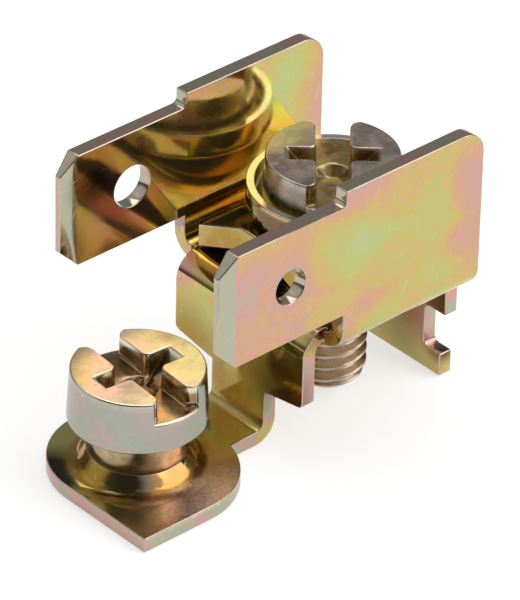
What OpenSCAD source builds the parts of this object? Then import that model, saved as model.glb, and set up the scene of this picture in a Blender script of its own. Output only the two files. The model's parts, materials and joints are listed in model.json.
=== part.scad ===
// Earth terminal: a body folded from one sheet, with two blade tabs, a wire clamp and an earth screw.
// Millimetres. +X points away from the blades, +Y to the back plate, +Z up.
// The origin is the middle of the outline, on the plane that the foot and the leg stand on.

/* [Sheet] */
// Thickness of the sheet
sheet = 0.8; // [0.6:0.05:1.0]
// Outside radius of the bends that turn the plates up
plate_bend = 1.3; // [1.1:0.05:1.6]
// Outside radius of the bends that turn the wall and the leg down
leg_bend = 1.4; // [1.2:0.05:1.9]
// Outside radius of the bend from the neck to the tongue
foot_bend = 1.3; // [1.1:0.05:1.6]
// Slit between a plate's bend and the edge of the wall
relief = 0.18; // [0.1:0.02:0.5]

/* [Plates] */
// Height of the base's underside above the ground plane
base_height = 6.9; // [6.2:0.1:9]
// Distance over the outer faces of the two plates
plate_span = 12.4; // [11.8:0.1:14]
// Height of the plates from the base's underside to their top edge
plate_height = 9.4; // [8.9:0.1:12]
// Reach of the plates from the clamp axis towards the blades
plate_left = 4.85; // [4.7:0.05:6]
// Reach of the plates from the clamp axis away from the blades
plate_right = 4.2; // [3.8:0.1:5]
// Radius of the free top corner of each plate
plate_corner = 1.3; // [0.6:0.1:2]

/* [Blades] */
// Width of each blade, from its lower to its upper edge
blade_width = 6.3; // [4.8:0.1:6.4]
// Length of each blade beyond the plate
blade_length = 7.9; // [7.5:0.1:9.5]
// Step from the plate's top edge down to the blade
blade_step = 0.8; // [0.4:0.1:1.2]
// Radius in the corner of that step
step_round = 0.3; // [0.1:0.05:0.4]
// Length of the corner cuts at the blade's tip
tip_cut_length = 1; // [0.6:0.05:1.6]
// Height of the corner cuts at the blade's tip
tip_cut_height = 1; // [0.6:0.05:1.6]
// Length of the coined slope on both faces of the tip
tip_slope_length = 0.95; // [0.6:0.05:1.6]
// Depth of the coined slope on each face
tip_slope_depth = 0.22; // [0.1:0.02:0.26]
// Distance from the tip to the latch hole
latch_distance = 4.45; // [3.6:0.05:5.2]
// Diameter of the latch hole in the front blade
front_latch_d = 1.9; // [1.6:0.05:2.6]
// Diameter of the latch hole in the back blade
back_latch_d = 2.3; // [1.6:0.05:2.6]

/* [Wall and tongue] */
// Reach of the wall's outer face from the clamp axis
wall_reach = 6; // [5.8:0.05:7]
// Height of the wall's lower edge at its ends
wall_end = 3.45; // [3.2:0.05:4.2]
// Height of the wall's lower edge beside the neck
wall_low = 3; // [2.6:0.05:3.2]
// Radius of the wall's lower corners
wall_corner = 0.35; // [0.2:0.05:0.8]
// Width of the neck that carries the tongue
neck_width = 3.9; // [3:0.1:5]
// Reach of the tongue's far edge from the clamp axis
tongue_reach = 16.5; // [15.5:0.1:18]
// Reach of the tongue's front edge, the one with the square corner, from the middle plane
tongue_front = 5.2; // [4.8:0.1:6]
// Reach of the tongue's back edge from the middle plane
tongue_back = 4.9; // [4.8:0.1:6]
// Radius of the tongue's round corners
tongue_round = 4.25; // [3.6:0.05:4.6]
// Reach of the earth screw from the clamp axis
earth_reach = 12.5; // [11.5:0.1:13]

/* [Leg] */
// Reach of the leg's outer face from the clamp axis
leg_reach = 5.45; // [5.2:0.05:6.2]
// Half of the leg's width
leg_half = 3.55; // [3.2:0.05:4.4]
// Height of the underside of the hook's notch
notch_low = 1.28; // [0.9:0.02:1.6]
// Height of the top of the hook's notch
notch_high = 3.75; // [3:0.05:4.2]
// Depth of the notch from the leg's front edge
notch_depth = 1.45; // [0.8:0.05:2]
// Setback of the hook's lower prong from the leg's front edge
prong_setback = 0.25; // [0.1:0.05:0.6]
// Radius in the corners of the notch
notch_round = 0.35; // [0.1:0.05:0.45]

/* [Threaded holes] */
// Height of the drawn collar round each threaded hole
collar_height = 0.9; // [0.8:0.05:1.2]
// Outside diameter of the drawn collar
collar_d = 4.9; // [4.6:0.05:5.4]
// Flare of the collar from its top to the sheet
collar_flare = 0.75; // [0.3:0.05:0.8]
// Radius where the sheet is drawn into the hole
collar_mouth = 0.5; // [0.2:0.05:0.55]

/* [Screws] */
// Diameter of the thread
thread_d = 4; // [3.5:0.1:4]
// Diameter of the head at its underside
head_d = 7; // [6.6:0.1:7.4]
// Diameter of the head at its top
head_top_d = 6.7; // [6.3:0.1:7]
// Height of the head
head_height = 2.8; // [2.4:0.05:3]
// Radius of the head's top edge
head_edge = 0.18; // [0.05:0.01:0.3]
// Diameter of the plain shoulder under the head
shoulder_d = 5.1; // [4.8:0.05:5.6]
// Length of the shoulder
shoulder_length = 1.85; // [1.8:0.05:2.4]
// Width of the slot
slot_width = 1.7; // [1:0.05:1.9]
// Depth of the slot
slot_depth = 1.2; // [0.8:0.05:1.5]
// Half length of the cross arms at the head's top
cross_reach = 2.3; // [1.8:0.05:2.7]
// Width of the cross arms
cross_width = 1.1; // [0.7:0.05:1.3]
// Radius of the corners between the slot and the cross arms
pad_round = 0.35; // [0.1:0.05:0.5]
// Depth of the cross recess
cross_depth = 1.75; // [1.3:0.05:2.2]
// Half length of the cross arms at their floor
cross_floor = 0.85; // [0.5:0.05:1.2]
// Radius of the round middle at the slot's floor
cross_middle = 0.95; // [0.7:0.05:1.1]
// Radius of the round middle at its own floor
middle_floor = 0.6; // [0.3:0.05:0.7]
// Chamfer at the end of the thread
thread_chamfer = 0.5; // [0.2:0.05:0.8]
// Length of the clamp screw under its head
clamp_screw_length = 10.1; // [9:0.05:10.5]
// Length of the earth screw under its head
earth_screw_length = 3.45; // [3.2:0.05:3.6]
// Turn of the clamp screw's slot from the X axis
clamp_slot_angle = 48; // [0:1:180]
// Turn of the earth screw's slot from the X axis
earth_slot_angle = 86; // [0:1:180]

/* [Clamp] */
// Length of the clamp bridge along X
bridge_length = 9.4; // [8.6:0.1:9.6]
// Width of the clamp bridge between its wing tips
bridge_width = 9.2; // [8:0.1:10]
// Thickness of the bridge, measured upright
bridge_thick = 1.35; // [1:0.05:1.45]
// Width of the flat ridge of the bridge
bridge_flat = 3.1; // [2:0.1:6]
// Drop from the ridge to the wing tips
bridge_drop = 1.3; // [0.8:0.05:1.6]
// Outside diameter of the cup washer
cup_d = 8.55; // [8:0.05:9.4]
// Thickness of the cup washer's floor
cup_floor = 0.3; // [0.25:0.05:0.5]
// Height of the cup washer
cup_height = 1.6; // [1:0.05:2]
// Thickness of the cup washer's rim
cup_wall = 0.45; // [0.3:0.05:0.55]
// Outside radius between the cup's floor and its rim
cup_round = 0.5; // [0.2:0.05:0.7]

/* [Fits] */
// Radial clearance of the threads
thread_gap = 0.04; // [0.02:0.01:0.08]
// Radial clearance of the shoulder in the washer and the bridge
shoulder_gap = 0.05; // [0.03:0.01:0.1]
// Gap between faces that seat on each other
seat_gap = 0.03; // [0.02:0.01:0.06]

/* [Hidden] */
$fn = 96;
over = 1;

plated = [0.80, 0.69, 0.42];
plated_light = [0.84, 0.77, 0.58];

plate_face = plate_span / 2;
bend_side = plate_face - plate_bend;
bend_top = base_height + plate_bend;
base_top = base_height + sheet;
plate_top = base_height + plate_height;
blade_top = plate_top - blade_step;
blade_low = blade_top - blade_width;
blade_tip = -plate_left - blade_length;
latch_x = blade_tip + latch_distance;
latch_z = (blade_top + blade_low) / 2;

base_left = leg_bend - wall_reach;
base_right = leg_reach - leg_bend;
fold_z = base_top - leg_bend;
wall_half = bend_side - relief;
wall_x = -wall_reach;
leg_x = leg_reach - sheet;
foot_x = wall_x + sheet - foot_bend;

tongue_x = tongue_round - tongue_reach;
front_shift = tongue_front - tongue_round;
back_shift = tongue_back - tongue_round;
earth_x = -earth_reach;
clamp_x = (tongue_reach - leg_reach) / 2;

bore_r = thread_d / 2 + thread_gap;
shoulder_bore_r = shoulder_d / 2 + shoulder_gap;
bridge_low = base_top + seat_gap;
bridge_top = bridge_low + bridge_thick + bridge_drop;
clamp_seat = bridge_top + cup_floor + seat_gap;
earth_seat = sheet + collar_height + seat_gap + shoulder_length;

// Quarter of a bent sheet about the Y axis: it turns from +X round to +Z
module bend(outer, width) {
    rotate([90, 0, 0])
        translate([0, 0, -width / 2])
            intersection() {
                difference() {
                    cylinder(r = outer, h = width);
                    translate([0, 0, -over])
                        cylinder(r = outer - sheet, h = width + 2 * over);
                }
                cube([outer + over, outer + over, width]);
            }
}

// Sheet lying in the XZ plane, its outer face on the plane Y = 0 and the sheet behind it
module upright_sheet() {
    translate([0, sheet, 0])
        rotate([90, 0, 0])
            linear_extrude(sheet)
                children();
}

// Sheet lying in the YZ plane, growing towards +X
module cross_sheet() {
    rotate([90, 0, 90])
        linear_extrude(sheet)
            children();
}

// Collar drawn up out of a sheet whose surface is at Z = 0
module drawn_collar() {
    cylinder(d1 = collar_d + 2 * collar_flare, d2 = collar_d, h = collar_height);
}

// Hole through a sheet and its drawn collar, with the rounded mouth that drawing leaves
module drawn_hole() {
    translate([0, 0, -sheet - over])
        cylinder(r = bore_r, h = sheet + collar_height + 2 * over);
    translate([0, 0, -sheet])
        rotate_extrude()
            difference() {
                translate([0, -over])
                    square([bore_r + collar_mouth, collar_mouth + over]);
                translate([bore_r + collar_mouth, collar_mouth])
                    circle(collar_mouth);
            }
}

// Outline of a plate with its blade, in the XZ plane
module plate_outline() {
    difference() {
        union() {
            translate([-plate_left, bend_top])
                square([plate_left + plate_right, plate_top - bend_top - plate_corner]);
            translate([-plate_left, bend_top])
                square([plate_left + plate_right - plate_corner, plate_top - bend_top]);
            translate([plate_right - plate_corner, plate_top - plate_corner])
                circle(plate_corner);
            polygon([
                [over - plate_left, blade_low],
                [blade_tip + tip_cut_length, blade_low],
                [blade_tip, blade_low + tip_cut_height],
                [blade_tip, blade_top - tip_cut_height],
                [blade_tip + tip_cut_length, blade_top],
                [over - plate_left, blade_top]
            ]);
            translate([-plate_left - step_round, blade_top - over])
                square([step_round, step_round + over]);
        }
        translate([-plate_left - step_round, blade_top + step_round])
            circle(step_round);
    }
}

// Wedge taken off one face of the blade's tip, the face lying on the plane Y = 0
module tip_slope() {
    slope = tip_slope_depth / tip_slope_length;
    linear_extrude(plate_top + over)
        polygon([
            [blade_tip - over, -over],
            [blade_tip - over, tip_slope_depth + over * slope],
            [blade_tip + tip_slope_length + over / slope, -over]
        ]);
}

// Front plate with its blade, the outer face on the plane Y = 0
module plate(latch_d) {
    difference() {
        upright_sheet()
            plate_outline();
        tip_slope();
        translate([0, sheet, 0])
            mirror([0, 1, 0])
                tip_slope();
        translate([latch_x, -over, latch_z])
            rotate([-90, 0, 0])
                cylinder(d = latch_d, h = sheet + 2 * over);
    }
}

// Base between the plates, with the bends that turn up into them
module base() {
    translate([base_left, -bend_side, base_height])
        cube([base_right - base_left, 2 * bend_side, sheet]);
    for (side = [0, 1])
        mirror([0, side, 0])
            translate([(plate_right - plate_left) / 2, bend_side, bend_top])
                rotate([0, 0, 90])
                    mirror([0, 0, 1])
                        bend(plate_bend, plate_left + plate_right);
}

// Outline of the wall and the neck below its bend, in the YZ plane
module wall_outline() {
    rise = atan((wall_end - wall_low) / (wall_half - neck_width / 2));
    round_y = wall_half - wall_corner;
    round_z = wall_end + wall_corner / cos(rise) - wall_corner * tan(rise);
    touch_y = round_y + wall_corner * sin(rise);
    touch_z = round_z - wall_corner * cos(rise);
    polygon([
        [-wall_half, fold_z],
        [-wall_half, round_z],
        [-touch_y, touch_z],
        [-neck_width / 2, wall_low],
        [-neck_width / 2, foot_bend],
        [neck_width / 2, foot_bend],
        [neck_width / 2, wall_low],
        [touch_y, touch_z],
        [wall_half, round_z],
        [wall_half, fold_z]
    ]);
    for (side = [-1, 1])
        translate([side * round_y, round_z])
            circle(wall_corner);
}

// Outline of the tongue: three round corners and one square one
module tongue_outline() {
    for (shift = [-front_shift, back_shift])
        translate([tongue_x, shift])
            circle(tongue_round);
    translate([tongue_x - tongue_round, -front_shift])
        square([2 * tongue_round, front_shift + back_shift]);
    translate([-tongue_reach, -tongue_front])
        square([tongue_round, tongue_front]);
    translate([tongue_x, -neck_width / 2])
        square([foot_x - tongue_x, neck_width]);
}

// Wall that folds down from the base, its neck and the tongue
module wall_and_tongue() {
    translate([base_left, 0, fold_z])
        mirror([1, 0, 0])
            bend(leg_bend, 2 * wall_half);
    translate([wall_x, 0, 0])
        cross_sheet()
            wall_outline();
    translate([foot_x, 0, foot_bend])
        mirror([0, 0, 1])
            bend(foot_bend, neck_width);
    linear_extrude(sheet)
        tongue_outline();
}

// Notch and setback that make the hook at the leg's front edge, in the YZ plane
module hook_cut() {
    notch_height = notch_high - notch_low;
    translate([-leg_half - over, notch_low + notch_round])
        square([notch_depth + over, notch_height - 2 * notch_round]);
    translate([-leg_half - over, notch_low])
        square([notch_depth + over - notch_round, notch_height]);
    for (z = [notch_low + notch_round, notch_high - notch_round])
        translate([notch_depth - leg_half - notch_round, z])
            circle(notch_round);
    translate([-leg_half - over, -over])
        square([prong_setback + over, notch_low + notch_round + over]);
}

// Leg that folds down from the base, with the hook at its front edge
module leg() {
    translate([base_right, 0, fold_z])
        bend(leg_bend, 2 * leg_half);
    translate([leg_x, 0, 0])
        cross_sheet()
            difference() {
                translate([-leg_half, 0])
                    square([2 * leg_half, fold_z]);
                hook_cut();
            }
}

// One-piece folded body
module folded_body() {
    difference() {
        union() {
            base();
            translate([0, -plate_face, 0])
                plate(front_latch_d);
            translate([0, plate_face, 0])
                mirror([0, 1, 0])
                    plate(back_latch_d);
            wall_and_tongue();
            leg();
            translate([0, 0, base_height])
                mirror([0, 0, 1])
                    drawn_collar();
            translate([earth_x, 0, sheet])
                drawn_collar();
        }
        translate([0, 0, base_height])
            mirror([0, 0, 1])
                drawn_hole();
        translate([earth_x, 0, sheet])
            drawn_hole();
    }
}

// Rounding of one corner between the slot and a cross arm, on top of the square corner at the origin
module pad_corner() {
    lap = pad_round / 2;
    linear_extrude(slot_depth + over)
        difference() {
            translate([-lap, -lap])
                square(pad_round + lap);
            translate([pad_round, pad_round])
                circle(pad_round);
        }
}

// Slot and cross recess in the top of a head whose underside is at Z = 0
module drive_recess() {
    reach = head_d;
    slope = (cross_reach - cross_floor) / cross_depth;
    translate([-reach, -slot_width / 2, head_height - slot_depth])
        cube([2 * reach, slot_width, slot_depth + over]);
    translate([-cross_width / 2, 0, head_height])
        rotate([90, 0, 90])
            linear_extrude(cross_width)
                polygon([
                    [-cross_floor, -cross_depth],
                    [cross_floor, -cross_depth],
                    [cross_reach + slope * over, over],
                    [-cross_reach - slope * over, over]
                ]);
    for (side = [0, 1], end = [0, 1])
        mirror([side, 0, 0])
            mirror([0, end, 0])
                translate([cross_width / 2, slot_width / 2, head_height - slot_depth])
                    pad_corner();
    translate([0, 0, head_height])
        rotate_extrude()
            polygon([
                [0, -cross_depth],
                [middle_floor, -cross_depth],
                [cross_middle, -slot_depth],
                [cross_middle, over],
                [0, over]
            ]);
}

// Cheese-head screw with a slot along X, its underside at Z = 0
module screw(under_head) {
    head_r = head_d / 2;
    top_r = head_top_d / 2;
    thread_r = thread_d / 2;
    difference() {
        rotate_extrude() {
            polygon([
                [0, 0],
                [head_r, 0],
                [top_r, head_height - head_edge],
                [top_r - head_edge, head_height],
                [0, head_height]
            ]);
            translate([top_r - head_edge, head_height - head_edge])
                circle(head_edge);
        }
        drive_recess();
    }
    translate([0, 0, -shoulder_length])
        cylinder(d = shoulder_d, h = shoulder_length);
    translate([0, 0, thread_chamfer - under_head])
        cylinder(r = thread_r, h = under_head - thread_chamfer - shoulder_length);
    translate([0, 0, -under_head])
        cylinder(r1 = thread_r - thread_chamfer, r2 = thread_r, h = thread_chamfer);
}

module terminal_body() {
    color(plated)
        translate([clamp_x, 0, 0])
            folded_body();
}

module clamp_bridge() {
    tip = bridge_width / 2;
    ridge = bridge_flat / 2;
    color(plated)
        translate([clamp_x, 0, bridge_low])
            difference() {
                translate([-bridge_length / 2, 0, 0])
                    rotate([90, 0, 90])
                        linear_extrude(bridge_length)
                            polygon([
                                [-tip, 0],
                                [-ridge, bridge_drop],
                                [ridge, bridge_drop],
                                [tip, 0],
                                [tip, bridge_thick],
                                [ridge, bridge_thick + bridge_drop],
                                [-ridge, bridge_thick + bridge_drop],
                                [-tip, bridge_thick]
                            ]);
                translate([0, 0, -over])
                    cylinder(r = shoulder_bore_r, h = bridge_thick + bridge_drop + 2 * over);
            }
}

module cup_washer() {
    cup_r = cup_d / 2;
    color(plated)
        translate([clamp_x, 0, bridge_top])
            rotate_extrude()
                difference() {
                    union() {
                        square([cup_r - cup_round, cup_height]);
                        translate([0, cup_round])
                            square([cup_r, cup_height - cup_round]);
                        translate([cup_r - cup_round, cup_round])
                            circle(cup_round);
                    }
                    translate([0, -over])
                        square([shoulder_bore_r, cup_height + 2 * over]);
                    translate([0, cup_floor])
                        square([cup_r - cup_wall, cup_height]);
                }
}

module clamp_screw() {
    color(plated_light)
        translate([clamp_x, 0, clamp_seat])
            rotate([0, 0, clamp_slot_angle])
                screw(clamp_screw_length);
}

module earth_screw() {
    color(plated_light)
        translate([clamp_x + earth_x, 0, earth_seat])
            rotate([0, 0, earth_slot_angle])
                screw(earth_screw_length);
}

terminal_body();
clamp_bridge();
cup_washer();
clamp_screw();
earth_screw();
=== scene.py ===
import json
import math

import bmesh
import bpy
import numpy as np
from mathutils import Matrix, Vector


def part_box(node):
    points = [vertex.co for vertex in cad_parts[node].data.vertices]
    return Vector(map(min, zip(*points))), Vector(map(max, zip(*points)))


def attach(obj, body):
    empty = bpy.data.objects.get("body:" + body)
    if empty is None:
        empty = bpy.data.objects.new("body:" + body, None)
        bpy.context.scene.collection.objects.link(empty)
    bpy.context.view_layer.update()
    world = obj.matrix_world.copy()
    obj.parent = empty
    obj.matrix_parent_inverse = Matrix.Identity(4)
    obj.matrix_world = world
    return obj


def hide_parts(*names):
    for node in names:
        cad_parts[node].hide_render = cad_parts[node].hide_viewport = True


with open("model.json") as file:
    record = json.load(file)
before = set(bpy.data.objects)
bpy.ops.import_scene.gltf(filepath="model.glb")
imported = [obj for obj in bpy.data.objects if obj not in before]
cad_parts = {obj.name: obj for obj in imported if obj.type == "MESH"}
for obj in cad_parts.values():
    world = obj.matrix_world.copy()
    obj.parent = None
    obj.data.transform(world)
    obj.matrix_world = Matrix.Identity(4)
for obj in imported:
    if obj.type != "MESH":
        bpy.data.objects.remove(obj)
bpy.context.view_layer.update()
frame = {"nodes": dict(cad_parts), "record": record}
scene = bpy.context.scene

# Sizes are in mm, and the masks' places count X from the clamp screw's axis
MM = 0.001
AXES = {
    joint["child"]: joint["pos_m"][0] / MM
    for joint in frame["record"]["behaviour"]["joints"] if "pos_m" in joint
}
CLAMP_X = AXES["clamp_screw"]
EARTH_X = AXES["earth_screw"]
FAR = 30                     # beyond the part on any side

# Edges of the CAD meshes
SHARP_ANGLE = math.radians(32)
FLAT_ANGLE = math.radians(0.4)
MERGE = 0.0002               # points closer than this are one

# Sheet
SHEET_EDGE = 0.055           # rounding that stamping and plating leave
PLATE_INSIDE = 5.3           # Y, just inside the upright plates
PLATE_FOOT = 8.4             # Z, above the plates' bends
WALL_HEIGHTS = (1.2, 6.4)    # between the wall's bends
TONGUE_FACE = 0.77           # Z, just below the tongue's upper face
TONGUE_RIGHT = -6.4          # X, where the tongue ends at the neck
COIN_X = -11.83              # where the blades' coined tips begin
LATCH_HOLE = (-8.3, 12.35)   # X and Z of the hole in the front blade
LATCH_RING = 1.32            # radius of the pinker ring round it

# Drawn collar on the tongue: radius and height, from its brim to its run-out, then back inside the sheet
COLLAR_SOFT = [(2.44, 1.69), (2.6, 1.5), (2.76, 1.3), (2.93, 1.12), (3.1, 0.99), (3.3, 0.89), (3.55, 0.825),
               (3.8, 0.803), (3.9, 0.79)]
COLLAR_HIDDEN = [(3.9, 0.7), (2.44, 0.7)]
COLLAR_AROUND = 128
# The collar's darker front is a painted dark reflection
DARK_REFLECTION_FRONT = (-0.743, -0.669, 0.0)     # level direction of the collar's darker front

# Clamp
BRIDGE_EDGE = 0.1
BRIDGE_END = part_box("clamp_bridge")[0].x / MM + 0.2
CUP_EDGE = 0.06
CUP_LOW, CUP_TOP = (corner.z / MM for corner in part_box("cup_washer"))
CUP_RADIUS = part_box("cup_washer")[1].x / MM - CLAMP_X
CUP_RIM = 0.08               # height of the rim that is bare of film

# Screw heads, heights from the head's underside
HEAD_HEIGHT = 2.8
HEAD_RADIUS = 3.5            # at the underside
HEAD_TAPER = 0.15 / 2.7      # the side leans in by this share of the height
TOP_RADIUS = 3.25            # where the top's rounded edge begins
TOP_EDGE = 0.1               # height of that edge
FOOT_EDGE = 0.12             # height of the rounded edge at the underside
FOOT_INSET = 0.1             # and its width
SHOULDER_RADIUS = 2.55
SHOULDER_DROP = 1.85
SLOT_HALF = 0.85
SLOT_DEPTH = 1.2
ARM_HALF = 0.55
ARM_REACH = 2.3
ARM_RUN = 0.829              # the arm's floor falls 1 mm over this length
ARM_DEPTH = 1.75
MIDDLE_RADIUS = 0.95
MIDDLE_RUN = 0.35            # the middle's floor falls to the arms' depth over this length
CORNER = 0.35                # rounding between the slot and the arms
FLARE = 0.45                 # how far the slot widens at the rim
FLARE_END = 2.977            # along the slot, where it is widest
PAD_EDGE = 0.09              # rounding of the recess's upper edges
WALL_LEAN = 0.03             # how far the recess's walls lean in
WEAR_PLACE = 0.03            # middle of the worn line beside an edge
WEAR_WIDTH = 0.06
WORN_DEPTH = 0.3             # no worn lines deeper than this
FILM_DEPTH = 0.25            # depth at which the recess has its own film
SHOULDER_FILM = 0.95         # share of the recess's film below the head
# The pads' paler side is a painted highlight
PAD_HIGHLIGHT_GRADE = (0.74, -0.67, 0.0)           # level direction in which the earth screw's pads get paler
CLAMP_SLOT_ANGLE = 48
EARTH_SLOT_ANGLE = 86

# Lines of the heads' mesh: coarse inside slot and arms, fine at their walls, coarse again on the pads
ARM_STEP, ARM_STEPS = 0.1, 5
SLOT_STEP, SLOT_STEPS = 0.12, 6
ARM_NEAR = (0.12, 0.08, 0.05, 0.035, 0.02, 0.01)
SLOT_NEAR = (0.17, 0.11, 0.06, 0.035, 0.02, 0.01)
FINE_STEP, FINE_STEPS = 0.018, 21
FINE_ZONE = 0.4                     # from a wall to the coarse lines on the pads
PAD_STEP, PAD_STEPS = 0.07, 15
OUTER_STEPS, COARSE_STEPS = 26, 8   # from the fine zone to the rim, and those before RIM_ZONE
RIM_ZONE = 2.5
LONG_LINE, SHORT_LINE = 2.8, 1.5    # a line's points are spaced by how far it reaches
LAST_LINE = math.radians(88.5)      # where the last line meets the rim
FLARE_LINES = (0, SLOT_HALF - 0.11, SLOT_HALF + 0.36, ARM_REACH)    # none, all, all, none of the flare
ROUNDING = (18, 36, 54, 72, 90)     # degrees round an edge
WORN_ANGLE = 54
SIDE_SHARES = (0.15, 0.4, 0.65, 0.9, 1.0)   # places of the rings down the side
SHOULDER_RINGS = (
    # inset, height, wear
    (-0.07, 0.0, 0), (-0.02, -0.02, 0), (0, -0.07, 0),          # fillet below the head
    (0, -0.6, 0), (0, -1.2, 0), (0, -1.7, 0),                   # side
    (0.02, 0.05 - SHOULDER_DROP, 0.5), (0.08, 0.01 - SHOULDER_DROP, 0.5),
    (0.15, 0.005 - SHOULDER_DROP, 0), (1.35, 0.005 - SHOULDER_DROP, 0),
)

# M4 thread
PITCH = 0.7
CREST = 1.97
ROOT = 1.55
ROOT_FLAT = 0.25             # shares of half the pitch
FLANK = 0.625
END_RADIUS = 1.45            # the chamfer widens from here at 45 degrees
UNDERCUT = 0.45
RUN_OUT = 1.2                # slope of the thread's upper end
THREAD_OVERLAP = 0.2         # the rod reaches this far into the shoulder
THREAD_AROUND = 72
ROWS_PER_PITCH = 14

# Camera: degrees, mm and pixels of the 520 x 600 picture
AZIMUTH, ELEVATION, ROLL = -42.207, 33.804, -1.267
CAMERA_DISTANCE = 285.922
FOCAL_PIXELS = 5809.68
PICTURE_PIXELS = 600
SENSOR = 36
AIM = (CLAMP_X - 4.0, 0.0, 6.165)
AIM_LEFT, AIM_DOWN = 1.189, 0.094
SHIFT_PIXELS = (14.951, 8.925)

# Floor and light: metres, watts and degrees
FLOOR_HALF = 3.0
FLOOR_Z = -0.00002
FLOOR_GREY = 0.62
FLOOR_SEEN = 0.62            # added where the camera sees the floor
FLOOR_MIRRORED = 0.46        # and where metal mirrors it
LAMPS = (
    # name, place, watts
    ("key", (0.37, -0.37, 0.4), 2.0),
    ("top", (0.15, 0.15, 0.65), 1.7),
)
LAMP_AIM = (0, 0, 0.005)
LAMP_SIZE = 0.6
AMBIENT = 0.07
LOBES = (
    # direction, inner and outer angle, strength
    ((0.70, -0.70, 0.75), 16, 44, 0.4),      # round the key lamp
    ((0.56, 0.62, 0.56), 24, 70, 0.165),     # back right, in the surfaces that face up
    ((-0.56, 0.62, 0.56), 10, 30, 0.5),      # back left
    ((0.0, -0.62, 0.78), 12, 28, 0.55),      # in front, high up
    ((0.0, 0.62, 0.78), 10, 28, 0.25),       # behind, high up
)


class Tree:
    """Short words for making shader nodes."""

    def __init__(self, base):
        self.base = base

    def node(self, kind, **values):
        made = self.base.nodes.new(kind)
        for key, value in values.items():
            setattr(made, key, value)
        return made

    def put(self, socket, value):
        if isinstance(value, bpy.types.NodeSocket):
            self.base.links.new(value, socket)
        else:
            socket.default_value = value

    def math(self, operation, first, second=0.0, clamp=False):
        made = self.node("ShaderNodeMath", operation=operation, use_clamp=clamp)
        self.put(made.inputs[0], first)
        self.put(made.inputs[1], second)
        return made.outputs[0]

    def plus(self, first, second, clamp=False):
        return self.math("ADD", first, second, clamp)

    def minus(self, first, second):
        return self.math("SUBTRACT", first, second)

    def times(self, first, *others):
        for other in others:
            first = self.math("MULTIPLY", first, other)
        return first

    def most(self, first, *others):
        for other in others:
            first = self.math("MAXIMUM", first, other)
        return first

    def without(self, value, mask, share=1.0):
        """The value, lowered by a share of itself where the mask is."""
        return self.times(value, self.minus(1.0, self.times(mask, share)))

    def vector(self, operation, first, second=(0, 0, 0)):
        made = self.node("ShaderNodeVectorMath", operation=operation)
        self.put(made.inputs[0], first)
        self.put(made.inputs[1], second)
        return made.outputs["Value"] if operation in ("DOT_PRODUCT", "LENGTH") else made.outputs[0]

    def noise(self, place, scale, detail=2.0, rough=0.5, distort=0.0, output=0):
        made = self.node("ShaderNodeTexNoise")
        self.put(made.inputs["Vector"], place)
        made.inputs["Scale"].default_value = scale
        made.inputs["Detail"].default_value = detail
        made.inputs["Roughness"].default_value = rough
        made.inputs["Distortion"].default_value = distort
        return made.outputs[output]

    def span(self, value, low, high, to_low=0.0, to_high=1.0):
        """Smooth step from to_low at low to to_high at high."""
        made = self.node("ShaderNodeMapRange", interpolation_type="SMOOTHSTEP")
        for socket, setting in zip(made.inputs, (value, low, high, to_low, to_high)):
            self.put(socket, setting)
        return made.outputs[0]

    def parts(self, vector):
        made = self.node("ShaderNodeSeparateXYZ")
        self.put(made.inputs[0], vector)
        return made.outputs

    def normal(self):
        return self.parts(self.node("ShaderNodeNewGeometry").outputs["True Normal"])

    def attribute(self, name):
        return self.node("ShaderNodeAttribute", attribute_name=name).outputs["Fac"]

    def ramp(self, value, stops):
        made = self.node("ShaderNodeValToRGB")
        elements = made.color_ramp.elements
        while len(elements) < len(stops):
            elements.new(0.5)
        for element, (position, colour) in zip(elements, stops):
            element.position = position
            element.color = (*colour, 1)
        self.put(made.inputs[0], value)
        return made.outputs[0]

    def mix(self, share, colour, tint):
        """The colour with a share of the tint, through the sockets that the node has for colours."""
        made = self.node("ShaderNodeMix", data_type="RGBA")
        self.put(made.inputs[0], share)
        self.put(made.inputs[6], colour)
        self.put(made.inputs[7], (*tint, 1))
        return made.outputs[2]


def srgb(*channels):
    """Linear colour for three sRGB values from 0 to 255."""
    shares = [channel / 255 for channel in channels]
    return tuple(share / 12.92 if share <= 0.04045 else ((share + 0.055) / 1.055) ** 2.4 for share in shares)


# Colours of the films by their thickness, and the tints that lie over them
SHEET_COLOURS = [
    (0.0, srgb(190, 188, 164)),      # silver
    (0.06, srgb(206, 178, 160)),
    (0.16, srgb(219, 168, 160)),     # pink
    (0.34, srgb(222, 173, 142)),     # salmon
    (0.5, srgb(217, 189, 118)),      # amber
    (0.64, srgb(207, 196, 120)),     # yellow
    (0.82, srgb(197, 203, 130)),     # lime
    (1.0, srgb(194, 204, 150)),      # green
]
EARTH_COLOURS = [
    (0.0, srgb(178, 178, 170)), (0.08, srgb(190, 174, 166)), (0.15, srgb(172, 178, 162)),
    (0.25, srgb(192, 186, 162)), (0.5, srgb(246, 244, 222)), (0.72, srgb(220, 196, 156)),
    (0.86, srgb(148, 124, 88)), (1.0, srgb(112, 92, 66)),
]
SCREW_COLOURS = [
    (0.0, srgb(158, 148, 138)), (0.25, srgb(176, 158, 146)), (0.45, srgb(170, 170, 142)),
    (0.65, srgb(180, 160, 114)), (0.85, srgb(160, 132, 84)), (1.0, srgb(146, 102, 66)),
]
THREAD_COLOURS = [(0.0, srgb(222, 210, 198)), (0.5, srgb(210, 192, 172)), (1.0, srgb(172, 146, 122))]
WORN_COLOURS = [(0.0, srgb(150, 136, 120)), (0.35, srgb(206, 190, 172)), (1.0, srgb(222, 206, 186))]
# Brown painted shade, laid over the film
PAINTED_BROWN_SHADE = srgb(142, 94, 72)
# Grey painted shade and painted dark reflections, laid over the film
SHADE = srgb(68, 60, 50)
# Deep gold: film on the collar and the bridge's end, painted shade on the neck and the wall, painted
# reflection and shade on the earth screw's pads
GILT_AND_PAINTED_SHADE = srgb(178, 136, 46)
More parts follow.
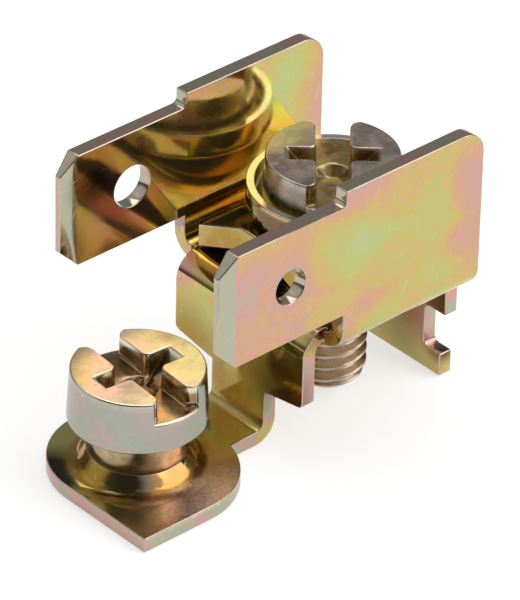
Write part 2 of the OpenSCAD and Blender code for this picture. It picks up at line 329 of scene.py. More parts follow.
# Pale: scuffs on the tongue and the cup's bare rim, and a painted highlight on the earth screw's pads
PALE_AND_HIGHLIGHT = srgb(232, 228, 216)
SPECK = srgb(230, 222, 208)
DUST = srgb(120, 96, 78)
BARE_EDGE = srgb(226, 214, 204)
SCRATCH = srgb(230, 220, 206)
METALLIC = 0.95
RELIEF = 0.2                 # mm for a relief of 1


def film_colour(tree, place, film, colours, mottle):
    """Colour of the film by its thickness, mottled, with pale specks and dark dust."""
    broad = tree.minus(tree.noise(place, 330, detail=3, rough=0.55, distort=0.4), 0.5)
    fine = tree.minus(tree.noise(place, 2300, detail=3, rough=0.6), 0.5)
    thickness = tree.plus(film(tree, place), tree.times(broad, 0.95 * mottle))
    thickness = tree.plus(thickness, tree.times(fine, 0.35 * mottle), clamp=True)
    specks = tree.span(tree.noise(place, 5600, rough=0.6), 0.63, 0.8, 0.0, 0.4)
    dust = tree.span(tree.noise(place, 3900, detail=3, rough=0.7), 0.36, 0.22, 0.0, 0.25)
    return tree.mix(dust, tree.mix(specks, tree.ramp(thickness, colours), SPECK), DUST)


def scratch_lines(tree, place):
    """Fine straight scratches in two directions."""
    lines = 0.0
    for turn, stretch in ((0.35, 0.06), (1.2, 0.05)):
        spun = tree.node("ShaderNodeVectorRotate", rotation_type="EULER_XYZ")
        tree.put(spun.inputs["Vector"], place)
        spun.inputs["Rotation"].default_value = (0.2, turn, 0.3)
        drawn_out = tree.vector("MULTIPLY", spun.outputs[0], (stretch, 1.0, 1.0))
        lines = tree.plus(lines, tree.span(tree.noise(drawn_out, 5200, detail=1), 0.71, 0.76))
    return lines


def relief(tree, place, lines, scratches, dents):
    """Soft waves, fine grain, the scratches' grooves and shallow dents."""
    waves = tree.times(tree.noise(place, 300, detail=1, rough=0.4), 0.1)
    grain = tree.times(tree.noise(place, 4200, rough=0.6), 0.006)
    height = tree.minus(tree.plus(waves, grain), tree.times(lines, 0.006 * scratches))
    if dents:
        height = tree.plus(height, tree.times(tree.noise(place, 620, detail=1, rough=0.4), dents))
    bump = tree.node("ShaderNodeBump")
    bump.inputs["Strength"].default_value = 1.0
    bump.inputs["Distance"].default_value = 1.0
    tree.put(bump.inputs["Height"], tree.times(height, RELIEF * MM))
    return bump.outputs[0]


def plated(name, film, colours, rough, dents=0.0, scratches=1.0, edge=0.0, mottle=1.0, scuff=None, **tints):
    """Zinc with a chromate film. film(tree, place) gives the film's thickness, which sets its colour.

    The tints are masks of colour laid over the film: brown and grey painted shade, a deep gold that is
    partly film and partly painted shade, and a pale that is partly scuffs and bare metal and partly painted
    highlight. scuff is added roughness, and edge says how bare the worn lines are.
    """
    material = bpy.data.materials.new(name)
    material.use_nodes = True
    tree = Tree(material.node_tree)
    shader = tree.base.nodes["Principled BSDF"].inputs
    place = tree.node("ShaderNodeTexCoord").outputs["Object"]

    colour = film_colour(tree, place, film, colours, mottle)
    # Brown and grey painted shade, deep gold and pale, laid over the film's colour
    for tint, over in (("dull", PAINTED_BROWN_SHADE), ("shade", SHADE), ("gilt", GILT_AND_PAINTED_SHADE), ("pale", PALE_AND_HIGHLIGHT)):
        if tint in tints:
            colour = tree.mix(tints[tint](tree, place), colour, over)
    if edge:
        patches = tree.span(tree.noise(place, 1500), 0.35, 0.6, 0.3, 1.0)
        colour = tree.mix(tree.times(tree.attribute("wear"), patches, edge), colour, BARE_EDGE)
    lines = scratch_lines(tree, place)
    share = tree.times(tree.math("MINIMUM", lines, 1.0), 0.22 * scratches)
    tree.put(shader["Base Color"], tree.mix(share, colour, SCRATCH))
    shader["Metallic"].default_value = METALLIC

    roughness = tree.span(tree.noise(place, 1200, detail=4, rough=0.6), 0.3, 0.75, rough * 0.75, rough * 1.5)
    if scuff:
        roughness = tree.plus(roughness, scuff(tree, place))
    tree.put(shader["Roughness"], roughness)
    tree.put(shader["Normal"], relief(tree, place, lines, scratches, dents))
    return material


# Forms that the masks are made of
def blob(tree, place, centre, radii):
    """1 at the centre of a soft ellipsoid, 0 outside it. X counts from the clamp screw's axis."""
    offset = tree.vector("SUBTRACT", place, ((centre[0] + CLAMP_X) * MM, centre[1] * MM, centre[2] * MM))
    offset = tree.vector("DIVIDE", offset, tuple(radius * MM for radius in radii))
    return tree.span(tree.vector("LENGTH", offset), 0.0, 1.0, 1.0, 0.0)


def spots(tree, place, rows):
    """Sum of blobs, each with its own amount."""
    total = 0.0
    for centre, radii, amount in rows:
        total = tree.plus(total, tree.times(blob(tree, place, centre, radii), amount))
    return total


def warped(tree, place, scale, amount):
    """The place pushed about by a soft noise, so that no field has a clean outline."""
    push = tree.vector("SUBTRACT", tree.noise(place, scale, output="Color"), (0.5, 0.5, 0.5))
    return tree.vector("ADD", place, tree.vector("MULTIPLY", push, (amount * MM,) * 3))


def between(tree, value, low, high, soft=0.1):
    """1 where the value lies between low and high."""
    above = tree.span(value, (low - soft) * MM, (low + soft) * MM)
    return tree.times(above, tree.span(value, (high - soft) * MM, (high + soft) * MM, 1.0, 0.0))


def from_axis(tree, place, axis_x):
    """Vector from a screw's axis, seen from above."""
    return tree.vector("MULTIPLY", tree.vector("SUBTRACT", place, (axis_x * MM, 0, 0)), (1, 1, 0))


def sheet_place(tree, place):
    """X from the clamp screw's axis, Y and Z."""
    x, y, z = tree.parts(place)
    return tree.minus(x, CLAMP_X * MM), y, z


# Sheet material
SHEET_FILM = 0.6
SHEET_FILM_SPOTS = (
    # centre, radii, change of the film's thickness
    ((-10.8, -6, 11.4), (7.6, 3, 7.5), -0.42),       # front blade
    ((4.8, -6, 12.0), (4.6, 3, 8.0), -0.4),          # front plate, right end
    ((-4.0, -6, 16.6), (7.5, 3, 3.0), -0.45),        # along its upper edge
    ((-4.0, -6, 13.0), (3.6, 3, 2.4), 0.26),         # greener middle
    ((-1.6, -6, 11.0), (2.2, 3, 1.6), 0.14),
    ((1.4, -6, 12.2), (3.0, 3, 2.6), 0.16),
    ((-3.6, -6, 9.2), (2.4, 3, 1.4), -0.22),         # pinker below the middle
    ((4.8, 6, 13.0), (2.4, 3, 7.0), -0.5),           # back plate, right end
    ((1.2, 6, 14.8), (2.6, 3, 2.6), 0.34),           # green beside it
    ((-3.8, 6, 15.4), (3.6, 3, 3.2), -0.26),         # its upper left corner
    ((-9.8, 6, 12.8), (7.0, 3, 6.5), -0.42),         # back blade
    ((-6.0, 4.4, 6.6), (2.0, 2.2, 2.6), -0.2),       # upper corner of the wall
    ((-6.0, 2.2, 4.2), (2.5, 2.4, 3.0), 0.2),        # middle of the wall
    ((4.6, -2.8, 2.6), (2.5, 2.6, 3.0), -0.42),      # hook
    ((-7.8, -0.6, 0.8), (1.8, 2.6, 0.8), 0.16),      # foot of the neck
    ((-5.5, 0.0, 7.6), (1.0, 5.0, 0.8), -0.35),      # bend above the wall
    ((-12.2, -4.6, 0.6), (7.0, 3.4, 0.9), -0.42),    # front of the tongue
)
# Spots of brown painted shade, where the sheet lies in shade or mirrors dark surroundings
PAINTED_BROWN_SHADE_SPOTS = (
    # centre, radii, share of the painted shade
    ((4.4, -0.6, 3.2), (1.6, 5.0, 5.2), 0.95),       # leg
    ((-5.0, -5.0, 7.6), (1.8, 1.6, 1.8), 0.9),       # relief beside the neck
    ((-6.0, -2.6, 4.4), (2.4, 3.4, 3.2), 0.45),      # wall below the front blade
    ((-6.0, 3.4, 3.4), (2.0, 3.2, 2.6), 0.25),       # wall's lower part
)


def cut_edges(tree, place):
    """1 on the sheet's cut edges, which are paler than its faces."""
    x, y, z = sheet_place(tree, place)
    off_x, off_y, off_z = (tree.span(tree.math("ABSOLUTE", part), 0.75, 0.5) for part in tree.normal())
    plates = between(tree, tree.math("ABSOLUTE", y), PLATE_INSIDE, FAR)
    plates = tree.times(plates, between(tree, z, PLATE_FOOT, FAR), off_y)
    tongue = between(tree, z, -FAR, TONGUE_FACE, soft=0.04)
    tongue = tree.times(tongue, off_z, between(tree, x, -FAR, TONGUE_RIGHT))
    wall = tree.times(between(tree, z, *WALL_HEIGHTS, soft=0.3), off_x)
    return tree.most(plates, tongue, wall)


def coined_tips(tree, place):
    """1 on the blades' coined tips."""
    x, _, z = sheet_place(tree, place)
    return tree.times(between(tree, x, -FAR, COIN_X, soft=0.07), between(tree, z, PLATE_FOOT - 0.4, FAR))


def latch_ring(tree, place):
    """1 round the hole in the front blade, on its outer face."""
    hole_x, hole_z = LATCH_HOLE
    offset = tree.vector("SUBTRACT", place, ((CLAMP_X + hole_x) * MM, 0, hole_z * MM))
    distance = tree.vector("LENGTH", tree.vector("MULTIPLY", offset, (1, 0, 1)))
    outer_face = tree.span(tree.parts(place)[1], -5.5 * MM, -5.7 * MM)
    return tree.times(between(tree, distance, -1, LATCH_RING, soft=0.14), outer_face)


def sheet_film(tree, place):
    """Pink at the plates' ends and edges, yellow and green in their middle, gold on wall and tongue."""
    film = tree.plus(spots(tree, warped(tree, place, 210, 2.4), SHEET_FILM_SPOTS), SHEET_FILM)
    film = tree.minus(film, tree.times(coined_tips(tree, place), 0.55))
    film = tree.minus(film, tree.times(latch_ring(tree, place), 0.16))
    return tree.without(film, cut_edges(tree, place), 0.9)


def sheet_dull(tree, place):
    """Painted shade in brown: on the leg, at the relief beside the neck, on the wall and in streaks on the
    neck.
    """
    pushed = warped(tree, place, 260, 1.6)
    streaks = tree.noise(tree.vector("MULTIPLY", pushed, (1, 1, 0.35)), 1100, rough=0.6)
    neck = blob(tree, pushed, (-6.0, 0.6, 2.4), (1.2, 3.0, 2.8))
    neck = tree.times(neck, tree.span(streaks, 0.42, 0.62), 0.5)
    total = tree.plus(spots(tree, pushed, PAINTED_BROWN_SHADE_SPOTS), neck, clamp=True)
    return tree.without(total, cut_edges(tree, place), 0.8)


def collar(tree, place):
    """1 on the drawn collar round the earth screw."""
    distance = tree.vector("LENGTH", from_axis(tree, place, EARTH_X))
    height = between(tree, tree.parts(place)[2], 0.8, 1.9, soft=0.06)
    return tree.times(between(tree, distance, 2.2, 3.5, soft=0.25), height)


def collar_dark_reflection(tree, place):
    """Painted dark reflection: a darker band up the collar's front."""
    outward = tree.vector("NORMALIZE", from_axis(tree, place, EARTH_X))
    facing = tree.vector("DOT_PRODUCT", outward, DARK_REFLECTION_FRONT)
    return tree.times(collar(tree, place), tree.span(facing, 0.87, 0.99))


def sheet_shade(tree, place):
    """Painted shade and painted dark reflections: in the leg's notch and on the tongue's left end, wall,
    back blade and collar.
    """
    pushed = warped(tree, place, 300, 1.2)
    notch = blob(tree, place, (5.0, -3.3, 1.5), (1.6, 1.7, 1.3))
    # Painted dark reflection on the tongue's left end
    left = tree.math("MULTIPLY", blob(tree, pushed, (-16.3, 1.8, 0.6), (2.4, 3.6, 1.0)), 1.5, clamp=True)
    left = tree.times(left, between(tree, tree.parts(place)[2], TONGUE_FACE - 0.01, FAR, soft=0.03))
    wall = tree.times(blob(tree, pushed, (-6.0, -3.0, 3.8), (1.8, 3.4, 3.4)), 0.8)
    # Painted dark reflection on the back blade
    blade = tree.times(blob(tree, pushed, (-10.7, 5.4, 13.4), (1.9, 0.9, 1.9)), 0.9)
    return tree.most(notch, left, wall, blade, tree.times(collar_dark_reflection(tree, place), 0.7))


def sheet_gilt(tree, place):
    """Deep gold film on the collar round the earth screw; on the neck and on the wall's lower part the deep
    gold is painted shade.
    """
    wall = blob(tree, warped(tree, place, 260, 1.6), (-6.0, 3.6, 3.6), (2.0, 3.0, 2.4))
    neck = blob(tree, place, (-6.0, 0.6, 2.2), (1.0, 2.8, 2.4))
    ring = tree.minus(collar(tree, place), collar_dark_reflection(tree, place))
    return tree.most(tree.times(ring, 0.8), tree.times(neck, 0.7), tree.times(wall, 0.75))


def sheet_pale(tree, place):
    """Pale specks where the tongue is scuffed, along its front and at its right corner."""
    pushed = warped(tree, place, 400, 1.2)
    front = blob(tree, pushed, (-12.8, -4.7, 0.7), (7.0, 3.1, 1.0))
    corner = blob(tree, pushed, (-9.3, -4.1, 0.7), (2.0, 2.2, 1.0))
    specks = tree.span(tree.noise(place, 5200, detail=3, rough=0.7), 0.44, 0.64, 0.12, 0.85)
    height = between(tree, tree.parts(place)[2], 0.6, 0.95, soft=0.08)
    return tree.times(specks, tree.most(front, corner), height)


def sheet_scuff(tree, place):
    """Rougher metal along the front of the tongue and in the bend at the neck's foot."""
    front = blob(tree, warped(tree, place, 400, 1.5), (-12.2, -4.6, 0.6), (7.0, 3.4, 0.9))
    bend = blob(tree, place, (-6.2, 0, 1.1), (0.8, 6.0, 0.8))
    return tree.times(tree.most(front, bend), 0.3)


SHEET = plated("plated_sheet", sheet_film, SHEET_COLOURS, rough=0.085, dull=sheet_dull, shade=sheet_shade,
               gilt=sheet_gilt, pale=sheet_pale, scuff=sheet_scuff)


# Clamp material
def clamp_film(tree, place):
    """Even gold, a little greener on the clamp's left half."""
    left = blob(tree, warped(tree, place, 300, 2.0), (-3, 0, 10.0), (6, 8, 4))
    return tree.plus(tree.times(left, 0.15), 0.5)


def cup_painted_shade(gap, share):
    """Painted shade round the front of the cup's outside, from its foot to a gap below its rim."""
    def mask(tree, place):
        y, z = tree.parts(place)[1:]
        distance = tree.vector("LENGTH", from_axis(tree, place, CLAMP_X))
        ring = tree.span(distance, (CUP_RADIUS - 0.375) * MM, (CUP_RADIUS - 0.225) * MM)
        front = tree.span(y, 2.2 * MM, 0.6 * MM)
        height = between(tree, z, CUP_LOW - 0.08, CUP_TOP - gap, soft=0.16)
        return tree.times(ring, front, height, share)
    return mask


def cup_pale(tree, place):
    """The cup's rim is bare of film."""
    return tree.times(between(tree, tree.parts(place)[2], CUP_TOP - CUP_RIM, FAR, soft=0.03), 0.9)


def bridge_gilt(tree, place):
    """Deeper gold in patches on the bridge's left end."""
    patches = tree.span(tree.noise(place, 520, detail=3, rough=0.6), 0.35, 0.65, 0.3, 0.8)
    return tree.times(between(tree, tree.parts(place)[0], -FAR, BRIDGE_END, soft=0.05), patches)


# The cup's front gets brown and grey painted shade
CLAMP = plated("plated_clamp", clamp_film, SHEET_COLOURS, rough=0.1, dull=cup_painted_shade(0.13, 0.6),
               shade=cup_painted_shade(0.23, 0.55), gilt=bridge_gilt, pale=cup_pale)


# Screw materials
def screw_film_and_light(top, side, recessed):
    """Film on the head's top, round its side and in its recess. The top and the side differ only by which
    way they face, so that difference is painted light.
    """
    def film(tree, place):
        outside = tree.plus(tree.times(tree.span(tree.normal()[2], 0.5, 0.8), top - side), side)
        return tree.plus(outside, tree.times(tree.attribute("deep"), tree.minus(recessed, outside)))
    return film


def even_film(thickness):
    """The same film everywhere."""
    def film(tree, place):
        return thickness
    return film


def pads(tree):
    """1 on a head's flat top, outside its recess."""
    return tree.without(tree.span(tree.normal()[2], 0.8, 0.95), tree.attribute("deep"))


def across_pads(tree, place):
    """Distance to the right of the earth screw's axis, along the way its pads are graded."""
    return tree.vector("DOT_PRODUCT", from_axis(tree, place, EARTH_X), PAD_HIGHLIGHT_GRADE)


def pad_gilt(tree, place):
    """Gold specks on the earth screw's pads, which are painted reflections, and a deeper gold at their left
    end, which is painted shade.
    """
    patches = tree.span(tree.noise(place, 420), 0.4, 0.6)
    specks = tree.span(tree.noise(place, 3400, detail=3, rough=0.7), 0.42, 0.66, 0.0, 0.4)
    left = tree.span(across_pads(tree, place), -1.6 * MM, -3.2 * MM, 0.0, 0.5)
    return tree.times(tree.most(tree.times(patches, specks), left), pads(tree))


def pad_pale(tree, place):
    """Painted highlight: the earth screw's pads are paler on the right."""
    right = tree.span(across_pads(tree, place), 0.8 * MM, 2.4 * MM, 0.0, 0.6)
    return tree.times(right, pads(tree))


def pad_scuff(tree, place):
    """The earth screw's pads are a little rougher than its side."""
    return tree.times(pads(tree), 0.07)


SCREW = plated("plated_screw", screw_film_and_light(0.2, 0.42, 0.8), SCREW_COLOURS, rough=0.28, dents=0.5,
               edge=0.9, mottle=1.3, scratches=0.5)
EARTH = plated("plated_screw_earth", screw_film_and_light(0.52, 0.12, 0.84), EARTH_COLOURS, rough=0.16, dents=0.2,
               edge=0.5, mottle=0.45, scratches=0.0, gilt=pad_gilt, pale=pad_pale, scuff=pad_scuff)
WORN = plated("worn_edge", even_film(0.3), WORN_COLOURS, rough=0.2)
THREAD = plated("plated_thread", even_film(0.5), THREAD_COLOURS, rough=0.3)


# Pieces
def new_object(name, data, *materials):
    """Object in the scene for a mesh, a lamp or a camera."""
    for material in materials:
        data.materials.append(material)
    made = bpy.data.objects.new(name, data)
    scene.collection.objects.link(made)
    return made


def stand_for(piece, body, node):
    """The piece rides on the body, and the CAD node that it stands in for is hidden."""
    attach(piece, body)
    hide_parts(node)


def band(upper, lower):
    """Faces between two closed rings of points."""
    count = len(upper)
    return [(upper[k], lower[k], lower[(k + 1) % count], upper[(k + 1) % count]) for k in range(count)]


def marked_mesh(node):
    """A smooth copy of a CAD node's mesh, with its sharp outer edges marked for rounding."""
    mesh = frame["nodes"][node].data.copy()
    form = bmesh.new()
    form.from_mesh(mesh)
    bmesh.ops.remove_doubles(form, verts=form.verts, dist=MERGE * MM)
    bmesh.ops.dissolve_limit(form, angle_limit=FLAT_ANGLE, verts=form.verts, edges=form.edges)
    for face in form.faces:
        face.smooth = True
    weight = form.edges.layers.float.new("bevel_weight_edge")
    for edge in form.edges:
        if len(edge.link_faces) == 2 and edge.calc_face_angle_signed(0.0) > SHARP_ANGLE:
            edge[weight] = 1.0
    form.to_mesh(mesh)
    form.free()
    mesh.materials.clear()
    for attribute in ("custom_normal", "sharp_face", "sharp_edge"):
        if attribute in mesh.attributes:
            mesh.attributes.remove(mesh.attributes[attribute])
    return mesh


def dressed(node, body, material, width):
    """The CAD node with its sharp outer edges rounded as stamping and plating leave them, and worn there."""
    mesh = marked_mesh(node)
    mesh.name = node + "_dressed"
    piece = new_object(node + "_dressed", mesh, material, WORN)
    rounding = piece.modifiers.new("edges", "BEVEL")
    rounding.width = width * MM
    rounding.segments = 3
    rounding.limit_method = "WEIGHT"
    rounding.use_clamp_overlap = False
    rounding.material = 1
    piece.modifiers.new("normals", "WEIGHTED_NORMAL")
    stand_for(piece, body, node)


def collar_foot():
    """The drawn collar runs out in the tongue with a soft foot; the ring closes inside the sheet."""
    profile = COLLAR_SOFT + COLLAR_HIDDEN
    angles = [2 * math.pi * k / COLLAR_AROUND for k in range(COLLAR_AROUND)]
    points = [((EARTH_X + radius * math.cos(angle)) * MM, radius * math.sin(angle) * MM, height * MM)
              for radius, height in profile for angle in angles]
    rings = [range(i * COLLAR_AROUND, (i + 1) * COLLAR_AROUND) for i in range(len(profile))]
    faces = []
    for upper, lower in zip(rings, rings[1:] + rings[:1]):
        faces += band(upper, lower)
    mesh = bpy.data.meshes.new("collar_foot")
    mesh.from_pydata(points, [], faces)
    seen = (len(COLLAR_SOFT) - 1) * COLLAR_AROUND
    for face in mesh.polygons:
        face.use_smooth = face.index < seen
    stand_for(new_object("collar_foot", mesh, SHEET), "terminal", "terminal_body")


# Screw heads: on a head's top, u runs along the slot and v across it
def wall_drop(distance, depth):
    """Depth at a distance from a recess's outline, positive on the pad and negative in the recess."""
    soft = np.minimum(PAD_EDGE, depth)
    near = np.clip(distance, 0, soft)
    edge = soft - np.sqrt(np.maximum(0, soft ** 2 - (soft - near) ** 2))
    wall = soft + (depth - soft) * np.clip(-distance / WALL_LEAN, 0, 1)
    return np.where(distance >= 0, edge, wall)


def worn_line(distance):
    """Wear at a distance from a recess's outline."""
    return np.exp(-((distance - WEAR_PLACE) / WEAR_WIDTH) ** 2)


def recess(u, v, flare):
    """Depth of slot, cross arms and middle below the head's top, and the wear beside their edges."""
    slot = np.abs(v) - SLOT_HALF - flare
    arm = np.abs(u) - ARM_HALF
    slot_depth = np.full_like(u, SLOT_DEPTH)
    arm_depth = np.clip((ARM_REACH - np.abs(v)) / ARM_RUN, 0, ARM_DEPTH)
    in_corner = (arm < CORNER) & (slot < CORNER)
    corner = np.where(in_corner, CORNER - np.hypot(CORNER - arm, CORNER - slot), 1.0)
    radius = np.hypot(u, v)
    bowl = SLOT_DEPTH + (ARM_DEPTH - SLOT_DEPTH) * np.clip((MIDDLE_RADIUS - radius) / MIDDLE_RUN, 0, 1)
    middle = np.where(radius < MIDDLE_RADIUS, bowl, 0)
    walls = [wall_drop(slot, slot_depth), wall_drop(arm, arm_depth), wall_drop(corner, slot_depth)]
    depth = np.maximum.reduce([*walls, middle])
    arm_wear = worn_line(arm) * np.clip(arm_depth / WORN_DEPTH, 0, 1)
    wear = np.maximum.reduce([worn_line(slot), worn_line(corner), arm_wear])
    return depth, wear * (depth < WORN_DEPTH)


def flared(line, u):
    """How far the slot is widened at u, and the v of a mesh line there."""
    inward = np.clip(FLARE_END - u, 0, FLARE)
    flare = FLARE - np.sqrt(np.maximum(0, FLARE ** 2 - (FLARE - inward) ** 2))
    share = np.interp(abs(line), FLARE_LINES, (0, 1, 1, 0))
    return flare, (abs(line) + flare * share) * math.copysign(1, line)


def rim_crossing(line):
    """The u at which a mesh line meets the top's rim, found by halving."""
    low, high = 0.0, TOP_RADIUS
    for _ in range(50):
        middle = (low + high) / 2
        if math.hypot(middle, flared(line, middle)[1]) < TOP_RADIUS:
            low = middle
        else:
            high = middle
    return low


def steps(count, step, start=0.0):
    """Evenly spaced values."""
    return [start + step * i for i in range(count)]


def mirrored(values):
    """The values after the first, negative and in reverse, then all the values."""
    return [-value for value in values[:0:-1]] + values


def line_points(end):
    """Places along a mesh line from the middle to its end, close together at the cross arms' walls."""
    inner = steps(ARM_STEPS, ARM_STEP) + [ARM_HALF - gap for gap in ARM_NEAR]
    inner += steps(FINE_STEPS, FINE_STEP, ARM_HALF)
    start = ARM_HALF + FINE_ZONE
    if end > LONG_LINE:
        coarse = np.linspace(start, RIM_ZONE, COARSE_STEPS, endpoint=False)
        return inner + [*coarse, *np.linspace(RIM_ZONE, end, OUTER_STEPS - COARSE_STEPS)]
    if end > SHORT_LINE:
        return inner + [*np.linspace(start, end, OUTER_STEPS)]
    return [*np.linspace(0, end, len(inner) + OUTER_STEPS)]


def head_grid():
    """Mesh lines along the slot, close together at its walls: u, v and the slot's flare at each point."""
    half = steps(SLOT_STEPS, SLOT_STEP) + [SLOT_HALF - gap for gap in SLOT_NEAR]
    half += steps(FINE_STEPS, FINE_STEP, SLOT_HALF) + steps(PAD_STEPS, PAD_STEP, SLOT_HALF + FINE_ZONE)
    first = math.asin(ARM_REACH / TOP_RADIUS)
    step = (LAST_LINE - first) / OUTER_STEPS
    half += [TOP_RADIUS * math.sin(angle) for angle in steps(OUTER_STEPS, step, first + step)]
    rows = []
    for line in mirrored(half):
        u = np.array(mirrored(line_points(rim_crossing(line))))
        flare, v = flared(line, np.abs(u))
        rows.append((u, v, flare))
    u, v, flare = (np.array(values) for values in zip(*rows))
    for row in (0, -1):
        v[row] = np.sign(v[row]) * np.sqrt(TOP_RADIUS ** 2 - u[row] ** 2)
    return u, v, flare


def side_radius(height):
    """Radius of the head's leaning side."""
    return HEAD_RADIUS - HEAD_TAPER * height


def side_rings(rim_height):
    """Radius, height and wear of the rings down the head's side and its shoulder."""
    rings = []
    top = rim_height - TOP_EDGE
    for angle in ROUNDING:
        bend = math.radians(angle)
        radius = TOP_RADIUS + (side_radius(top) - TOP_RADIUS) * math.sin(bend)
        wear = 1 - abs(angle - WORN_ANGLE) / 90
        rings.append((radius, rim_height - TOP_EDGE * (1 - math.cos(bend)), wear))
    for share in SIDE_SHARES:
        height = top * (1 - share) + FOOT_EDGE * share
        rings.append((side_radius(height), height, 0.0))
    for angle in ROUNDING:
        bend = math.radians(angle)
        radius = side_radius(FOOT_EDGE) - FOOT_INSET * (1 - math.cos(bend))
        rings.append((radius, FOOT_EDGE * (1 - math.sin(bend)), 0.4))
    for inset, height, wear in SHOULDER_RINGS:
        rings.append((SHOULDER_RADIUS - inset, height, wear))
    return rings


def screw_head(name, material, axis_x, under, slot_angle):
    """Cheese head with slot, cross recess, softly rounded edges and its shoulder, as one closed surface."""
    u, v, flare = head_grid()
    depth, wear = recess(u, v, flare)
    z = HEAD_HEIGHT - depth
    rows, columns = u.shape
    index = np.arange(rows * columns).reshape(rows, columns)
    faces = [(index[i, j], index[i, j + 1], index[i + 1, j + 1], index[i + 1, j])
             for i in range(rows - 1) for j in range(columns - 1)]
    last = [*index[0, :], *index[1:, -1], *index[-1, -2::-1], *index[-2:0:-1, 0]]
    turn = np.arctan2(v.reshape(-1)[last], u.reshape(-1)[last])
    points = [np.stack([u, v, z], -1).reshape(-1, 3)]
    wears = [wear.reshape(-1)]
    deeps = [np.clip(depth.reshape(-1) / FILM_DEPTH, 0, 1)]
    count, start = len(last), rows * columns
    for radius, height, ring_wear in side_rings(z.reshape(-1)[last]):
        height = np.broadcast_to(height, turn.shape)
        points.append(np.stack([radius * np.cos(turn), radius * np.sin(turn), height], -1))
        wears.append(np.full(count, ring_wear))
        deeps.append(np.where(height < 0.01, SHOULDER_FILM, 0.0))
        ring = range(start, start + count)
        faces += band(last, ring)
        last, start = ring, start + count
    points.append(np.array([[0.0, 0.0, points[-1][0, 2]]]))
    wears.append(np.zeros(1))
    deeps.append(np.ones(1))
    faces += [(last[k], start, last[(k + 1) % count]) for k in range(count)]

    place = Matrix.Translation((axis_x, 0, under)) @ Matrix.Rotation(math.radians(slot_angle), 4, "Z")
    placed = np.concatenate(points) @ np.array(place.to_3x3()).T + np.array(place.translation)
    mesh = bpy.data.meshes.new(name)
    mesh.from_pydata((placed * MM).tolist(), [], [tuple(int(i) for i in face) for face in faces])
    for key, values in (("wear", wears), ("deep", deeps)):
        attribute = mesh.attributes.new(key, "FLOAT", "POINT")
        attribute.data.foreach_set("value", np.concatenate(values).astype(np.float32))
    for face in mesh.polygons:
        face.use_smooth = True
    return new_object(name, mesh, material)


def thread_rod(name, axis_x, top, end):
    """M4 thread as a radius by angle and height, with a chamfered end and an undercut at the shoulder."""
    rows = int(round((top - end) * ROWS_PER_PITCH / PITCH))
    angle = np.arange(THREAD_AROUND) * 2 * math.pi / THREAD_AROUND
    z = end + (top - end) * np.arange(rows + 1)[:, None] / rows
    phase = ((z - end) / PITCH - angle / (2 * math.pi)) % 1.0
    ridge = np.clip((1 - np.abs(2 * phase - 1) - ROOT_FLAT) / FLANK, 0, 1)
    radius = ROOT + (CREST - ROOT) * ridge
    radius = np.minimum(radius, END_RADIUS + z - end)
    radius = np.minimum(radius, np.maximum(ROOT, ROOT + (top - UNDERCUT - z) * RUN_OUT))
    height = np.broadcast_to(z, radius.shape)
    points = np.stack([axis_x + radius * np.cos(angle), radius * np.sin(angle), height], -1).reshape(-1, 3)
    rings = [range(i * THREAD_AROUND, (i + 1) * THREAD_AROUND) for i in range(rows + 1)]
    faces = [tuple(reversed(rings[0])), tuple(rings[-1])]
    for lower, upper in zip(rings, rings[1:]):
        # A face starts at its lower left corner, so that its diagonal follows the helix
        faces += [face[1:] + face[:1] for face in band(upper, lower)]
    mesh = bpy.data.meshes.new(name)
    mesh.from_pydata((points * MM).tolist(), [], faces)
    for face in mesh.polygons:
        face.use_smooth = len(face.vertices) == 4
    return new_object(name, mesh, THREAD)


def dress_screw(node, material, axis_x, slot_angle):
    """The head and the shoulder keep the solid's form with soft edges; the thread below is a true helix."""
    low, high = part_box(node)
    under = high.z / MM - HEAD_HEIGHT
    rod_top = under - SHOULDER_DROP + THREAD_OVERLAP
    head = screw_head(node + "_head", material, axis_x, under, slot_angle)
    rod = thread_rod(node + "_thread", axis_x, rod_top, low.z / MM)
    for piece in (head, rod):
        stand_for(piece, node, node)


# Floor, light and camera
def make_floor():
    """White floor that keeps the part's shadow and that the metal mirrors."""
    corners = [(-FLOOR_HALF, -FLOOR_HALF, 0), (FLOOR_HALF, -FLOOR_HALF, 0),
               (FLOOR_HALF, FLOOR_HALF, 0), (-FLOOR_HALF, FLOOR_HALF, 0)]
    mesh = bpy.data.meshes.new("floor")
    mesh.from_pydata(corners, [], [(0, 1, 2, 3)])
    material = bpy.data.materials.new("floor_white")
    material.use_nodes = True
    tree = Tree(material.node_tree)
    tree.base.nodes.remove(tree.base.nodes["Principled BSDF"])
    diffuse = tree.node("ShaderNodeBsdfDiffuse")
    diffuse.inputs["Color"].default_value = (FLOOR_GREY, FLOOR_GREY, FLOOR_GREY, 1)
    ray = tree.node("ShaderNodeLightPath").outputs
    seen = tree.times(ray["Is Camera Ray"], FLOOR_SEEN)
    glow = tree.node("ShaderNodeEmission")
    tree.put(glow.inputs["Strength"], tree.plus(seen, tree.times(ray["Is Glossy Ray"], FLOOR_MIRRORED)))
    both = tree.node("ShaderNodeAddShader")
    tree.put(both.inputs[0], diffuse.outputs[0])
    tree.put(both.inputs[1], glow.outputs[0])
    tree.put(tree.base.nodes["Material Output"].inputs["Surface"], both.outputs[0])
    floor = new_object("floor", mesh, material)
    floor.location.z = FLOOR_Z


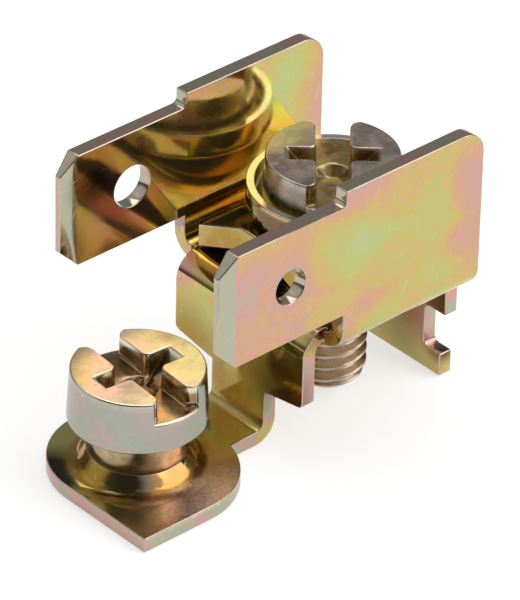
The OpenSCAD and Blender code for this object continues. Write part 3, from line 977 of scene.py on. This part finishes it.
def make_world():
    """Dim studio with soft bright fields that the metal mirrors."""
    world = bpy.data.worlds.new("studio")
    world.use_nodes = True
    scene.world = world
    tree = Tree(world.node_tree)
    direction = tree.node("ShaderNodeTexCoord").outputs["Generated"]
    total = AMBIENT
    for centre, inner, outer, strength in LOBES:
        nearness = tree.vector("DOT_PRODUCT", direction, tuple(Vector(centre).normalized()))
        lobe = tree.span(nearness, math.cos(math.radians(outer)), math.cos(math.radians(inner)))
        total = tree.plus(total, tree.times(lobe, strength))
    background = tree.base.nodes["Background"]
    background.inputs["Color"].default_value = (1, 1, 1, 1)
    tree.put(background.inputs["Strength"], total)


def make_lamp(name, place, watts):
    """Soft square lamp that points at the part."""
    data = bpy.data.lights.new(name, "AREA")
    data.energy = watts
    data.size = LAMP_SIZE
    lamp = new_object(name, data)
    lamp.location = place
    lamp.rotation_mode = "QUATERNION"
    lamp.rotation_quaternion = (Vector(LAMP_AIM) - Vector(place)).to_track_quat("-Z", "Y")


def make_camera():
    """Camera at the photograph's viewing angle."""
    azimuth, elevation, roll = (math.radians(angle) for angle in (AZIMUTH, ELEVATION, ROLL))
    level = math.cos(elevation)
    back = Vector((math.sin(azimuth) * level, -math.cos(azimuth) * level, math.sin(elevation)))
    right = Vector((math.cos(azimuth), math.sin(azimuth), 0))
    up = back.cross(right)
    target = Vector(AIM) - AIM_LEFT * right - AIM_DOWN * up
    rolled_right = right * math.cos(roll) - up * math.sin(roll)
    rolled_up = right * math.sin(roll) + up * math.cos(roll)
    data = bpy.data.cameras.new("camera")
    data.sensor_width = SENSOR
    data.lens = FOCAL_PIXELS / PICTURE_PIXELS * SENSOR
    data.shift_x, data.shift_y = (shift / PICTURE_PIXELS for shift in SHIFT_PIXELS)
    data.clip_start = 0.01
    data.clip_end = 20
    camera = new_object("camera", data)
    pose = Matrix((rolled_right, rolled_up, back)).transposed().to_4x4()
    pose.translation = (target + CAMERA_DISTANCE * back) * MM
    camera.matrix_world = pose
    scene.camera = camera


dressed("terminal_body", "terminal", SHEET, SHEET_EDGE)
collar_foot()
dressed("clamp_bridge", "clamp", CLAMP, BRIDGE_EDGE)
dressed("cup_washer", "clamp", CLAMP, CUP_EDGE)
dress_screw("clamp_screw", SCREW, CLAMP_X, CLAMP_SLOT_ANGLE)
dress_screw("earth_screw", EARTH, EARTH_X, EARTH_SLOT_ANGLE)
make_floor()
make_world()
for lamp_setting in LAMPS:
    make_lamp(*lamp_setting)
make_camera()
scene.view_settings.view_transform = "Standard"
